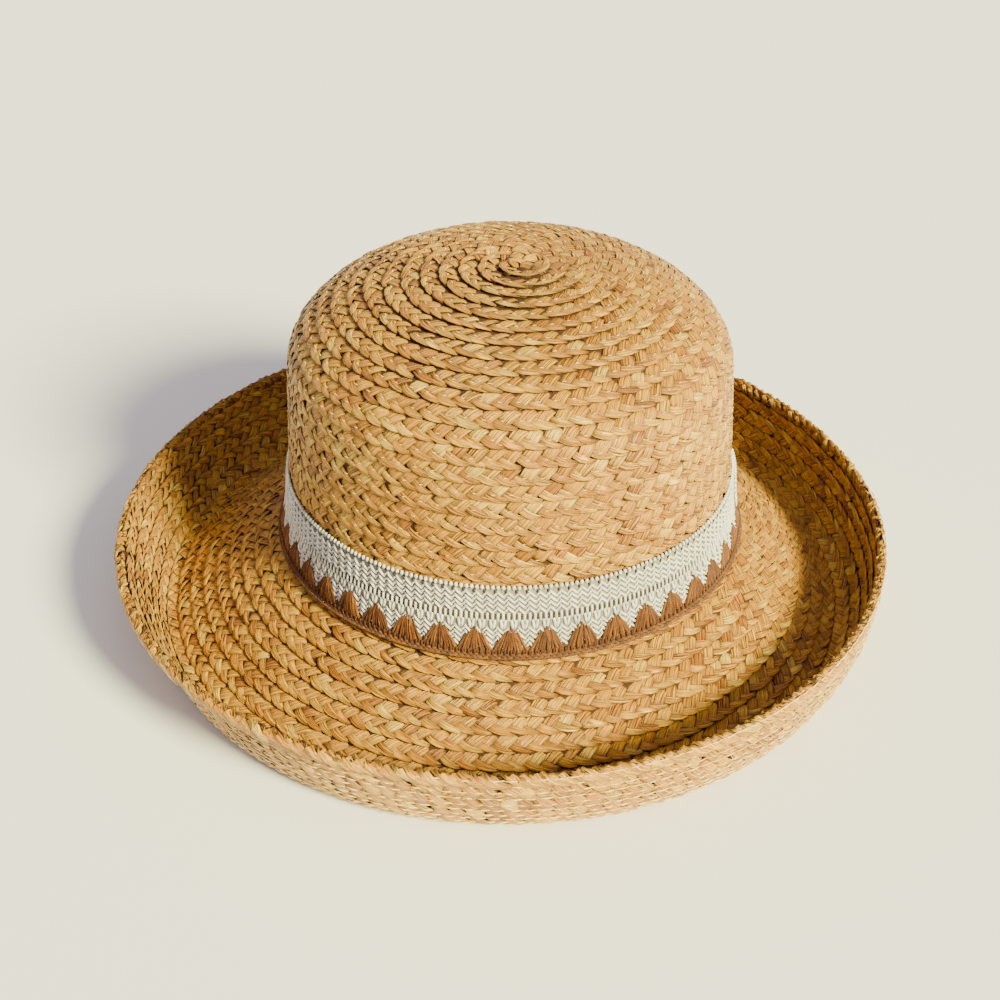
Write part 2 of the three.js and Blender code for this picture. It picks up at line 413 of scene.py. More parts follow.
def ribbons(wall, along, angle, shape, plait, rng):
    """Points, faces, uv and values of one column of ribbons laid along a row."""
    count = len(along)
    across, rise = SECTIONS[plait["section"]]
    t = np.linspace(0, 1, plait["stations"])[None, :, None]
    wide = plait["pitch"] / SHAPE_PITCH
    run = varied(shape, "run", count, rng)
    half = varied(shape, "half_width", count, rng) * wide
    plump = varied(shape, "plump", count, rng)
    first = varied(shape, "first", count, rng) * wide
    last = varied(shape, "last", count, rng) * wide

    # The middle line: how far along the row, and how far across it
    line_along = t * run - shape["back"] + spread(VARY_BACK, count, rng)
    line_across = first + (last - first) * np.sin(t * math.pi / 2) ** shape["bend"]
    slope = np.gradient(line_across, t[0, :, 0], axis=1)
    size = np.hypot(run, slope)
    side = across[None, None, :] * half * taper_at(t, shape)
    point_along = line_along - side * slope / size
    point_across = line_across + side * run / size

    dive = dive_at(t, shape)
    tilt = shape["tilt"] + spread(VARY_TILT, count, rng)
    lift = plait["lift"] - dive + plump * taper_at(t, shape) * rise[None, None, :]
    lift = lift + tilt * across[None, None, :] + spread(VARY_LIFT, count, rng)
    lift = lift + plait["lap"] * (point_across / plait["pitch"] - LAP_LEVEL)
    place = along[:, None, None] + point_across + spread(VARY_PLACE, count, rng)
    row_radius = np.maximum(wall.radius_at(along), LEAST_RADIUS)[:, None, None]
    points = wall.point(place, angle[:, None, None] + point_along / row_radius, lift)

    sample = TEXTURE_SPAN * rng.uniform(0, 1, (count, 1, 1))
    flat = (t * run + sample, across[None, None, :] * half + sample)
    uv = np.stack(np.broadcast_arrays(*flat), axis=-1)
    tint = np.broadcast_to(rng.uniform(0, 1, (count, 1, 1)), points.shape[:3])
    # Painted shade for each point: darker where the ribbon dives under its neighbours and at its
    # side edges
    painted_shade = np.clip(1 - dive / PAINTED_SHADE_DIVE, 0, 1) * np.where(rise > 0.5, 1.0, PAINTED_SHADE_SIDE)
    shade = np.broadcast_to(painted_shade, points.shape[:3])
    faces = tube_faces(count, plait["stations"], len(across))
    return points.reshape(-1, 3), faces, uv.reshape(-1, 2), tint.ravel(), shade.ravel()


# %% One piece of plait
def plait_piece(name, wall, along, angle, plait, seed, floor=None, shapes=(LOZENGE, EDGE_RIBBON)):
    """One mesh with both columns of a plait, laid at even steps along its rows."""
    rng = np.random.default_rng(seed)
    half_step = 0.5 * plait["step"] / np.maximum(wall.radius_at(along), LEAST_RADIUS)
    parts = [
        ribbons(wall, along, angle, shapes[0], plait, rng),
        ribbons(wall, along, angle + half_step, shapes[1], plait, rng),
    ]
    points = np.vstack([parts[0][0], parts[1][0]])
    quads = np.vstack([parts[0][1], parts[1][1] + len(parts[0][0])])
    if floor is not None:
        points[:, 2] = np.maximum(points[:, 2], floor)
    uv, tint, shade = (np.concatenate([parts[0][k], parts[1][k]]) for k in (2, 3, 4))
    return mesh_piece(name, points, quads, uv, {"tint": tint, "shade": shade})


# %% Where ribbons lie
SPIRAL_POINTS = 30000


def spiral_places(wall, start, end, pitch, step, end_turn=0.0):
    """Even steps along a spiral on the wall, which ends at end_turn."""
    turns = (end - start) / pitch
    angle = np.linspace(0, 2 * math.pi * turns, SPIRAL_POINTS)
    along = start + pitch * angle / (2 * math.pi)
    radius = np.maximum(wall.radius_at(along), 1.0)
    travelled = np.concatenate([[0], np.cumsum(np.diff(angle) * (radius[1:] + radius[:-1]) / 2)])
    stops = np.arange(0.5 * step, travelled[-1], step)
    first_turn = end_turn - angle[-1]
    return np.interp(stops, travelled, along), np.interp(stops, travelled, angle) + first_turn


def ring_places(wall, along, step):
    """Even steps round one closed row."""
    count = int(round(2 * math.pi * wall.radius_at(along) / step))
    return np.full(count, along), 2 * math.pi * np.arange(count) / count


# %% Kinds of plait
# lift is how high the ribbons lie, lap how much each row climbs over the next, and step the
# distance from one ribbon to the next. The faces that show least get plainer ribbons.
FACE = {"section": "fine", "stations": 6, "lift": -0.15, "lap": 1.65, "step": 6.5}
CROWN_FACE = {**FACE, "pitch": CROWN_PITCH, "step": 6.9}
BACK = {"section": "plain", "stations": 4, "lift": -0.1, "lap": -0.9, "step": 9.3}

# %% [markdown]
# ## The crown
# The plait starts at the tip as a tight coil and winds down the dome. The spiral keeps on
# under the tape, where it can't be seen, so the ribbons stop a little below its upper edge.
# Rings, one for each row, would be simpler, but the coil at the tip is what the eye finds.

# %% Crown plait
TIP_START = 1.5
UNDER_BAND = 4.0
band_reach = crown_outer.length - (BAND_TOP - CROWN_FOOT) + UNDER_BAND
along, angle = spiral_places(crown_outer, TIP_START, band_reach, CROWN_PITCH, CROWN_FACE["step"])
crown_plait = plait_piece("crown_plait", crown_outer, along, angle, CROWN_FACE, SEED)

# %% Inside of the crown
INSIDE_MARGIN = 2.0
inside_end = crown_inner.length - INSIDE_MARGIN
along, angle = spiral_places(crown_inner, INSIDE_MARGIN, inside_end, CROWN_PITCH, BACK["step"])
crown_back = {**BACK, "pitch": CROWN_PITCH}
crown_inside = plait_piece("crown_plait_inside", crown_inner, along, angle, crown_back, SEED + 1)

# %% [markdown]
# ## The brim
# The same plait goes on outwards, down the slope and up the rolled edge. One spiral is laid
# on the top and one on the underside, and each is cut in two where the solids part, because
# the slope and the roll are two pieces of the frame. One spiral for both faces would need
# ribbons that are right from both sides, and the eye never sees the two faces at once.

# %% Rows of the brim
BRIM_END = math.radians(3)
BRIM_ROWS = int(round(brim_upper.length / BRIM_PITCH))
pitch = brim_upper.length / BRIM_ROWS
first_row = -0.5 * pitch
last_row = first_row + BRIM_ROWS * pitch
SLOPE_ROWS = 8
split = SLOPE_ROWS * pitch
print("rows on the brim", BRIM_ROWS, "at", round(pitch, 2), "mm")

# %% Top of the brim
# The end of the plait runs on for half a turn under the rim, as a maker tapers it out
OVERRUN = 0.5
LAST_ROW_CENTRE = 0.35
INNER_FLOOR = 0.4
brim_face = {**FACE, "pitch": pitch}
along, angle = spiral_places(
    brim_upper, first_row, last_row + OVERRUN * pitch, pitch, FACE["step"],
    BRIM_END + 2 * math.pi * OVERRUN,
)
along = np.minimum(along, brim_upper.length - LAST_ROW_CENTRE * pitch)
sloping = along < split
brim_slope = plait_piece(
    "brim_plait", brim_upper, along[sloping], angle[sloping], brim_face, SEED + 2, INNER_FLOOR
)
roll_face = {**brim_face, "lap": 1.15}
brim_edge = plait_piece(
    "brim_roll_plait", brim_upper, along[~sloping], angle[~sloping], roll_face, SEED + 3,
    INNER_FLOOR,
)

# %% Underside of the brim
# It shows its rolled part from the front, so only that part is as fine as the top
STANDING = 0.0
brim_back = {**BACK, "pitch": pitch}
along, angle = spiral_places(brim_under, first_row, last_row, pitch, BACK["step"], BRIM_END)
sloping = along < split
brim_slope_under = plait_piece(
    "brim_plait_underside", brim_under, along[sloping], angle[sloping], brim_back, SEED + 4,
    STANDING,
)
outside_face = {**FACE, "pitch": pitch, "lap": -0.8, "step": 6.8}
along, angle = spiral_places(brim_under, first_row, last_row, pitch, FACE["step"], BRIM_END)
sloping = along < split
brim_edge_under = plait_piece(
    "brim_roll_plait_underside", brim_under, along[~sloping], angle[~sloping], outside_face,
    SEED + 5, STANDING,
)

# %% [markdown]
# ## The row under the seat
# Where crown and brim meet, the real plait turns the corner without a break. Here two walls
# end there, and from below one would see between them. One more row on a small wall of its
# own goes round the corner. Longer rows on either wall would cross each other instead.

# %% Row round the corner
# Each point is out from the crown's inner wall or the seat's outer edge, and up or down from
# the crown's foot or the seat
def seat_profile():
    """From the crown's inner wall round under the brim's inner edge."""
    return smooth_curve(
        [
            (SEAT_INNER - 0.1, CROWN_FOOT + 4.0),
            (SEAT_INNER - 0.1, SEAT_HEIGHT - 0.6),
            (SEAT_INNER + 1.2, SEAT_HEIGHT - 2.5),
            (SEAT_OUTER + 2.2, SEAT_HEIGHT - 3.5),
        ],
        200,
    )


seat_wall = Wall(*seat_profile(), foot_shift, face=-1.0)
seat_face = {**BACK, "pitch": seat_wall.length * 0.9, "step": 8.0, "lap": 0.0}
along, angle = ring_places(seat_wall, seat_wall.length * 0.5, seat_face["step"])
seat_plait = plait_piece("seat_plait", seat_wall, along, angle, seat_face, SEED + 9)

# %% [markdown]
# ## The rim
# The last row of plait is folded over the edge, so it is thicker and shows on both sides. Its
# wall is a small curve of its own: up the inside, over the edge and down the outside. Its
# ribbons run over the edge aslant, like the strands of a rope. A twisted tube would look
# like a rope from outside too, but it would not lie flat on the last row.

# %% Rim ribbons
RIM_THICK = 2.9
RIM_INSIDE = 5.0
RIM_OUTSIDE = 5.6
RIM_LOWER = 0.5
RIM_SETBACK = 0.1
RIM_COVER = 0.3
RIM_ARC_POINTS = 14
RIM_RIBBON = {
    "run": 14.0, "back": 3.0, "first": -3.25, "last": 3.25, "half_width": 1.4,
    "plump": 0.75, "bend": 0.95, "dive_first": 0.5, "dive_last": 0.5, "tilt": 0.1,
    "end_width": 1.0,
}


# %% Rim row
def rim_profile():
    bend = RIM_THICK / 2
    centre = RIM_RADIUS - bend
    top = RIM_HEIGHT - RIM_LOWER
    turn = np.linspace(math.pi, 0, RIM_ARC_POINTS)
    radius = [centre - bend - RIM_SETBACK] + list(centre + bend * np.cos(turn))
    height = [top - RIM_INSIDE] + list(top - bend + bend * np.sin(turn))
    radius.append(RIM_RADIUS - RIM_COVER)
    height.append(top - RIM_OUTSIDE)
    return smooth_curve(np.column_stack([radius, height]), 300)


rim_wall = Wall(*rim_profile(), no_shift)
rim_face = {**FACE, "pitch": rim_wall.length * 0.92, "step": 9.8, "lap": 0.0, "lift": 0.1}
along, angle = ring_places(rim_wall, rim_wall.length * 0.5, rim_face["step"])
rim_plait = plait_piece(
    "rim_plait", rim_wall, along, angle, rim_face, SEED + 6, shapes=(RIM_RIBBON, RIM_RIBBON)
)

# %% [markdown]
# ## The sewing thread
# On the underside a pale thread runs along each row, once down its middle and once at its
# edge. It is a chain of short raised stitches, which catch the light as fine cream lines. One
# long tube would draw the same line, but the light on it would not break at every stitch.

# %% Stitches
THREAD_STATIONS = 3


def thread_stitches(name, wall, along, angle, length, radius, lift, seed):
    """Short four-sided tubes along a wall's rows, highest at their middle."""
    rng = np.random.default_rng(seed)
    count = len(along)
    each = THREAD_STATIONS * 4
    t = np.linspace(-0.5, 0.5, THREAD_STATIONS)[None, :, None]
    ring = np.linspace(0, 2 * math.pi, 4, endpoint=False)[None, None, :]
    size = radius * np.sqrt(np.clip(1 - (1.7 * t) ** 2, 0.15, 1))
    run = length * (1 + 0.1 * rng.uniform(-1, 1, (count, 1, 1)))
    across = size * np.cos(ring) + 0.15 * rng.uniform(-1, 1, (count, 1, 1))
    turn = angle[:, None, None] + t * run / wall.radius_at(along)[:, None, None] + 0 * ring
    arch = lift * (1 - 2.2 * t**2) + size * np.sin(ring)
    points = wall.point(along[:, None, None] + across, turn, arch + 0 * turn)
    points[..., 2] = np.maximum(points[..., 2], STANDING)
    tint = np.repeat(rng.uniform(0, 1, count), each)
    uv = np.tile(np.linspace(0, 1, each)[:, None], (count, 2)) + tint[:, None] * TEXTURE_SPAN
    values = {"tint": tint, "shade": np.ones(count * each)}
    return mesh_piece(
        name, points.reshape(-1, 3), tube_faces(count, THREAD_STATIONS, 4), uv, values
    )


# %% Seams under the rolled edge
STITCH = 5.6
UNSEWN_ROWS = 10
along, angle = spiral_places(brim_under, first_row, last_row, pitch, STITCH, BRIM_END)
shown = along > UNSEWN_ROWS * pitch
along, angle = along[shown], angle[shown]
seam_thread = thread_stitches(
    "seam_thread",
    brim_under,
    np.concatenate([along + 0.1, along + 0.5 * pitch]),
    np.concatenate([angle, angle + 0.02]),
    length=STITCH * 1.1, radius=0.34, lift=0.62, seed=SEED + 7,
)

# %% Loops on the crown
# There only a short pale loop shows for each stitch, where the edge ribbons cross
LOOPS_START = 12.0
along, angle = spiral_places(
    crown_outer, LOOPS_START, band_reach, CROWN_PITCH, CROWN_FACE["step"]
)
crown_thread = thread_stitches(
    "crown_thread", crown_outer, along + 0.1, angle,
    length=1.9, radius=0.22, lift=0.5, seed=SEED + 8,
)

# %% [markdown]
# ## The heart of the wall, painted as shade
# Between the strands one sees into the plait, where it lies in shade. A thin closed shell
# between the two faces is painted dark brown as that shade, and stops the light that would
# shine through the gaps. A third layer of ribbons would give real shade, at the cost of as many
# triangles again.

# %% Inner shells
def heart_profile(wall, near, far, first, last, count=34):
    """A closed loop between two depths under a wall's surface."""
    along = np.linspace(first, last, count)
    radius = np.interp(along, wall.along, wall.radius)
    height = np.interp(along, wall.along, wall.height)
    normal_r = np.interp(along, wall.along, wall.normal_r)
    normal_z = np.interp(along, wall.along, wall.normal_z)
    outer = np.column_stack([radius - normal_r * near, height - normal_z * near])
    inner = np.column_stack([radius - normal_r * far, height - normal_z * far])
    return np.vstack([outer, inner[::-1]]).T


brim_end = brim_upper.length - 1.2
brim_loop = heart_profile(brim_upper, near=1.0, far=1.35, first=0.0, last=brim_end)
brim_heart = turned_piece("brim_heart", *brim_loop, brim_shift, roll_tuck)
crown_end = crown_outer.length - 0.2
crown_loop = heart_profile(crown_outer, near=1.1, far=1.6, first=0.6, last=crown_end)
crown_heart = turned_piece("crown_heart", *crown_loop, foot_shift)

# %% [markdown]
# ## The tape
# The tape is a narrow cotton weave: rows of short slanted stitches that zigzag, a row of
# upright bars with slots between them, and small loops along its upper edge. Each stitch is
# a short tube on a plain ground, laid by its place along and up the tape. A pattern in the
# material alone would be flat at the edges, where the loops stand against the straw.

# %% The tape's own wall
UNITS = 147
GROUND = 0.45
FLARE = 2.3
OVER_BAND = 1.0
TAPE_TALL = BAND_TOP - BAND_FOOT + OVER_BAND


def flare_at(up):
    """How far the tape stands off the crown: its foot spreads onto the brim like a skirt."""
    return FLARE * np.clip(1 - up / TAPE_TALL, 0, 1.1) ** 2


def standing_point(round_share, up, off):
    """Point on the crown's side: share of a turn, height over the tape's foot, distance off."""
    height = BAND_FOOT + up
    radius = side_radius(height) + CLEARANCE + off + flare_at(up)
    angle = 2 * math.pi * round_share
    return np.stack(
        [CROWN_SHIFT + radius * np.cos(angle), radius * np.sin(angle), height + 0 * angle], axis=-1
    )


# %% Tubes on the tape
def thread_tubes(paths, thick):
    """Closed four-sided tubes along paths (count, stations, 3); thick is a radius or an array."""
    count, stations, _ = paths.shape
    along = np.gradient(paths, axis=1)
    along /= np.maximum(np.linalg.norm(along, axis=2, keepdims=True), 1e-9)
    out = paths - np.array([CROWN_SHIFT, 0, 0])
    out[..., 2] = 0
    out /= np.linalg.norm(out, axis=2, keepdims=True)
    side = np.cross(along, out)
    side /= np.maximum(np.linalg.norm(side, axis=2, keepdims=True), 1e-9)
    out = np.cross(side, along)
    thick = np.broadcast_to(np.asarray(thick, float), (count, stations))[..., None]
    ring = [out * thick, side * thick, -out * thick, -side * thick]
    points = np.stack([paths + r for r in ring], axis=2)
    return points.reshape(-1, 3), tube_faces(count, stations, 4)


def thread_piece(name, groups, seed):
    """One mesh of several groups of tubes, each (paths, thickness)."""
    rng = np.random.default_rng(seed)
    points, quads, tints, uvs, first = [], [], [], [], 0
    for paths, thick in groups:
        p, q = thread_tubes(paths, thick)
        count, stations, _ = paths.shape
        points.append(p)
        quads.append(q + first)
        tints.append(np.repeat(rng.uniform(0, 1, count), stations * 4))
        t = np.broadcast_to(np.linspace(0, 1, stations)[None, :, None], (count, stations, 4))
        v = np.broadcast_to(np.array([0, 0.33, 0.66, 1.0])[None, None], (count, stations, 4))
        start = rng.uniform(0, TEXTURE_SPAN, (count, 1, 1))
        uvs.append(np.stack([t * 2 + start, v + start], axis=-1).reshape(-1, 2))
        first += len(p)
    points = np.vstack(points)
    tint = np.concatenate(tints)
    return mesh_piece(
        name, points, np.vstack(quads), np.vstack(uvs), {"tint": tint, "shade": np.ones(len(points))}
    )


# %% Stitches of the tape
ZIGZAG_ROWS = 4
STROKE_STATIONS = 4
STROKE = np.linspace(-0.5, 0.5, STROKE_STATIONS)[None]


def zigzag_rows(first_up, row_pitch, shares, off, rng):
    """Slanted stitches: long thick ones that fall to the right, short thin ones that rise."""
    groups = []
    for half, slant, size, thick in ((0.25, -1, 1.22, 0.56), (0.75, 1, 0.84, 0.45)):
        paths = []
        for row in range(ZIGZAG_ROWS):
            up = first_up + row * row_pitch
            jitter = rng.uniform(-0.22, 0.22, len(shares))
            place = shares[:, None] + (half + STROKE * 0.6 * size) / UNITS
            rise = up + jitter[:, None] + slant * STROKE * 2.3 * size
            lift = off + 0.45 * size * np.cos(STROKE * math.pi) + 0 * place
            paths.append(standing_point(place, rise, lift))
        groups.append((np.vstack(paths), thick))
    return groups


def upright_strokes(up, tall, shares, off):
    """One upright stroke at each place, arched a little."""
    place = shares[:, None] + 0 * STROKE
    arch = off + 0.2 * np.cos(STROKE * math.pi) + 0 * place
    return standing_point(place, up + STROKE * tall + 0 * place, arch)


def bar_row(up, tall, shares, off):
    """Two upright strokes a unit."""
    return upright_strokes(up, tall, np.concatenate([shares, shares + 0.5 / UNITS]), off)


def converging_row(up, tall, shares, off):
    """Two strokes a unit that lean together downwards, like a tulip's sides."""
    paths = []
    for side in (-1, 1):
        place = shares[:, None] + (0.5 + side * (0.16 + 0.16 * STROKE)) / UNITS
        rise = up + STROKE * tall + 0 * place
        lift = off + 0.3 * np.cos(STROKE * math.pi) + 0 * place
        paths.append(standing_point(place, rise, lift))
    return np.vstack(paths)


# %% Weave of the tape
# Each row's place up the tape, from the top row down
KNOBS_UP = TAPE_TALL - 1.0
SLITS_UP = TAPE_TALL - 2.6
ZIGZAG_UP = TAPE_TALL - 11.2
BARS_UP = TAPE_TALL - 14.2
TULIPS_UP = TAPE_TALL - 17.4
LOW_ZIGZAG_UP = TAPE_TALL - 26.6
STITCH_OFF = GROUND + 0.1
KNOB_THICK = np.array([[0.5, 0.78, 0.78, 0.5]])

rng = np.random.default_rng(SEED + 10)
all_units = np.arange(UNITS) / UNITS
tape_stitches = thread_piece(
    "tape_weave",
    [
        (bar_row(KNOBS_UP, 1.8, all_units, GROUND), KNOB_THICK),
        *zigzag_rows(ZIGZAG_UP, 2.35, all_units, STITCH_OFF, rng),
        (bar_row(BARS_UP, 3.4, all_units, STITCH_OFF), 0.62),
        (converging_row(TULIPS_UP, 3.8, all_units, STITCH_OFF), 0.62),
        *zigzag_rows(LOW_ZIGZAG_UP, 2.15, all_units, STITCH_OFF, rng),
    ],
    SEED + 11,
)

# %% Slots of painted shade, and ground of the tape
QUARTER = 0.25 / UNITS
GROUND_POINTS = 6
# Dark tubes in the slots and slits are painted shade, where one looks into the shadow under the tape
tape_painted_slot_shade = thread_piece(
    "tape_painted_slot_shade",
    [
        (bar_row(BARS_UP, 2.8, all_units + QUARTER, STITCH_OFF), 0.26),
        (upright_strokes(SLITS_UP, 1.3, all_units + 3 * QUARTER, GROUND + 0.15), 0.42),
    ],
    SEED + 14,
)


def tape_ground_piece():
    """The plain band under the stitches, its grey partly painted shade between them, with the tape's
    flare.
    """
    rise = np.linspace(0.0, TAPE_TALL - 1.4, GROUND_POINTS)
    up = np.concatenate([rise, rise[::-1]])
    off = np.repeat([0.0, GROUND], GROUND_POINTS)
    height = BAND_FOOT + up
    radius = side_radius(height) + CLEARANCE + off + flare_at(up)
    return turned_piece("tape_ground", radius, height, foot_shift, columns=240)


tape_ground = tape_ground_piece()

# %% [markdown]
# ## The tape's join
# On the right the two ends of the tape lap. The upper end is the same rows of stitches, five
# units wide and a little further off the crown, on a ground of its own.

# %% Lapped end of the tape
LAP_CENTRE = -3 / 360
LAP_UNITS = 5
LAP_OFF = 1.45
lap_units = LAP_CENTRE + (np.arange(LAP_UNITS) - LAP_UNITS / 2) / UNITS
lap_stitches = thread_piece(
    "tape_lap",
    [
        (bar_row(KNOBS_UP - 1.0, 1.8, lap_units, LAP_OFF), KNOB_THICK),
        *zigzag_rows(ZIGZAG_UP, 2.35, lap_units, LAP_OFF + 0.1, rng),
        (bar_row(BARS_UP, 3.4, lap_units, LAP_OFF + 0.1), 0.5),
        (converging_row(TULIPS_UP, 3.8, lap_units, LAP_OFF + 0.1), 0.55),
    ],
    SEED + 12,
)
LAP_FOOT = TAPE_TALL - 19.5
LAP_TOP = TAPE_TALL - 1.5
LAP_BACK = 0.95
LAP_STATIONS = 9


def lap_ground_piece():
    """A flat closed bar under the lapped end's stitches."""
    shares = LAP_CENTRE + np.linspace(-0.5, 0.5, LAP_STATIONS) * LAP_UNITS / UNITS
    corners = ((LAP_FOOT, LAP_BACK), (LAP_FOOT, LAP_OFF), (LAP_TOP, LAP_OFF), (LAP_TOP, LAP_BACK))
    points = np.stack([standing_point(shares, up + 0 * shares, off) for up, off in corners], axis=1)
    return mesh_piece("tape_lap_ground", points.reshape(-1, 3), tube_faces(1, LAP_STATIONS, 4))


lap_ground = lap_ground_piece()

# %% [markdown]
# ## The scalloped trim
# Brown yarns fan out from the peak of each scallop to its foot, and small knots with holes
# between them hold them along the edge; the holes are dark tubes of painted shade. Each yarn is
# one tapered tube. A fan cut from one sheet would have the outline, but the light would not run
# down its yarns.

# %% Fans
FANS = 44
YARNS = 11
KNOTS_PER_FAN = 6
FAN_HALF = 0.49
FAN_FOOT = 1.0
FAN_ROUND = 0.72
YARN_STATIONS = 7


def fan_yarns(rng):
    """Paths and thickness of the yarns of all the fans."""
    t = np.linspace(0, 1, YARN_STATIONS)[None, None, :]
    lean = np.linspace(-1, 1, YARNS)[None, :, None]
    jitter = rng.uniform(-1, 1, (FANS, YARNS, 1))
    fan = (np.arange(FANS) / FANS)[:, None, None]
    top = TRIM_PEAK - 1.2 - 0.9 * lean**2 + 0.3 * jitter
    up = FAN_FOOT + t * (top - FAN_FOOT)
    wide = np.clip(1 - up / TRIM_PEAK, 0, 1) ** FAN_ROUND
    sway = 0.035 * np.sin(t * 5 + 3 * jitter)
    place = fan + (lean * wide + 0.05 * jitter + sway) * FAN_HALF / FANS
    body = np.sin(np.clip(t, 0.04, 0.97) * math.pi) ** 0.6 * (1 - 0.45 * lean**2)
    place, up, lift = np.broadcast_arrays(place, up, 1.0 + 0.8 * body + 0.12 * jitter)
    thick = np.interp(t[0, 0], [0, 0.3, 0.75, 1], [0.6, 0.74, 0.56, 0.22])
    return standing_point(place, up, lift).reshape(-1, YARN_STATIONS, 3), thick[None]


# %% Trim yarns
KNOTS = FANS * KNOTS_PER_FAN
knots = (np.arange(KNOTS) + 0.5) / KNOTS
gaps = np.arange(KNOTS) / KNOTS
fan_tips = np.arange(FANS) / FANS


def edge_cord(up, off, slant):
    """Short slanted strokes in a row, like the twist of a cord."""
    place = knots[:, None] + STROKE * 1.5 / KNOTS
    arch = off + 0.3 * np.cos(STROKE * math.pi) + 0 * place
    return standing_point(place, up + slant * STROKE + 0 * place, arch)


rng = np.random.default_rng(SEED + 15)
trim_yarns = thread_piece(
    "trim_fans",
    [
        fan_yarns(rng),
        (upright_strokes(1.3, 2.6, knots, 1.15), 0.62),
        (edge_cord(-0.9, 2.0, 0.9), 0.72),
        (edge_cord(0.1, 1.5, -0.9), 0.7),
        (edge_cord(2.6, 0.7, 0.6), 0.5),
        (upright_strokes(TRIM_PEAK - 1.2, 1.3, fan_tips, 1.0), 0.5),
    ],
    SEED + 13,
)


# %% Painted shade: dark yarns and holes of the trim
def fan_backing():
    """Thick dark yarns under the bright ones, painted as the shade between them, so that no tape
    shows between them.
    """
    t = np.linspace(0, 1, STROKE_STATIONS)[None, None, :]
    lean = np.linspace(-0.9, 0.9, 6)[None, :, None]
    fan = (np.arange(FANS) / FANS)[:, None, None]
    up = 0.6 + t * (TRIM_PEAK - 3.4 - 1.4 * lean**2)
    wide = np.clip(1 - up / TRIM_PEAK, 0, 1) ** FAN_ROUND
    place, up, lift = np.broadcast_arrays(fan + lean * wide * FAN_HALF / FANS, up, 0.75 + 0 * t)
    return standing_point(place, up, lift).reshape(-1, STROKE_STATIONS, 3), 1.0


trim_painted_gap_shade = thread_piece(
    "trim_painted_gap_shade", [(upright_strokes(1.7, 1.5, gaps, 1.7), 0.55), fan_backing()], SEED + 16
)

# %% [markdown]
# ## Materials
# Fibre streaks show on the raffia, the cotton and the brown yarn alike, so they are one node
# group with its own inputs, placed in each material at its own scale. Copying the nodes into
# each material would work, but a change would have to be made in every copy.

# %% Node helpers
def add_node(tree, kind, settings=None, values=None):
    """A new node with its settings, and with values for its inputs."""
    node = tree.nodes.new(kind)
    for key, value in (settings or {}).items():
        setattr(node, key, value)
    for key, value in (values or {}).items():
        node.inputs[key].default_value = value
    return node


def connect(tree, *rows):
    """Links, each row (node, output, node, input)."""
    for source, output, target, entry in rows:
        tree.links.new(source.outputs[output], target.inputs[entry])


def new_material(name):
    material = bpy.data.materials.new(name)
    material.use_nodes = True
    return material, material.node_tree, material.node_tree.nodes["Principled BSDF"]


def colour(code):
    """Linear colour from a six-digit code."""
    parts = [int(code[i:i + 2], 16) / 255 for i in (0, 2, 4)]
    return [c / 12.92 if c < 0.04045 else ((c + 0.055) / 1.055) ** 2.4 for c in parts] + [1.0]


# %% Fibre streak group
def fibre_group():
    """Noise drawn out along each strand's own length, as a mask from 0 to 1."""
    tree = bpy.data.node_groups.new("fibre_streaks", "ShaderNodeTree")
    for name, default in (("Along", 0.35), ("Across", 4.0), ("Contrast", 1.0)):
        socket = tree.interface.new_socket(name=name, in_out="INPUT", socket_type="NodeSocketFloat")
        socket.default_value = default
    tree.interface.new_socket(name="Streak", in_out="OUTPUT", socket_type="NodeSocketFloat")
    entry = add_node(tree, "NodeGroupInput")
    leave = add_node(tree, "NodeGroupOutput")
    uv = add_node(tree, "ShaderNodeUVMap", {"uv_map": "strand"})
    scale = add_node(tree, "ShaderNodeCombineXYZ")
    stretch = add_node(tree, "ShaderNodeVectorMath", {"operation": "MULTIPLY"})
    noise = add_node(tree, "ShaderNodeTexNoise", values={"Scale": 1.0, "Detail": 3.0})
    sharpen = add_node(tree, "ShaderNodeMapRange", values={"From Min": 0.4, "From Max": 0.64})
    power = add_node(tree, "ShaderNodeMath", {"operation": "POWER"})
    connect(
        tree,
        (entry, "Along", scale, "X"),
        (entry, "Across", scale, "Y"),
        (uv, "UV", stretch, 0),
        (scale, "Vector", stretch, 1),
        (stretch, "Vector", noise, "Vector"),
        (noise, "Fac", sharpen, "Value"),
        (sharpen, "Result", power, 0),
        (entry, "Contrast", power, 1),
        (power, "Value", leave, "Streak"),
    )
    return tree


FIBRES = fibre_group()

# %% Strand material
RELIEF_DEPTH = 0.0005
SPLIT_SPREAD = 7.3
LEAST_SPLIT = 0.3
MULTIPLIED = {"data_type": "RGBA", "blend_type": "MULTIPLY"}


def tone_ramp(tree, ramp):
    """Colour ramp with an element for each (place, code)."""
    tones = add_node(tree, "ShaderNodeValToRGB")
    while len(tones.color_ramp.elements) < len(ramp):
        tones.color_ramp.elements.new(0.5)
    for element, (place, code) in zip(tones.color_ramp.elements, ramp):
        element.position = place
        element.color = colour(code)
    return tones


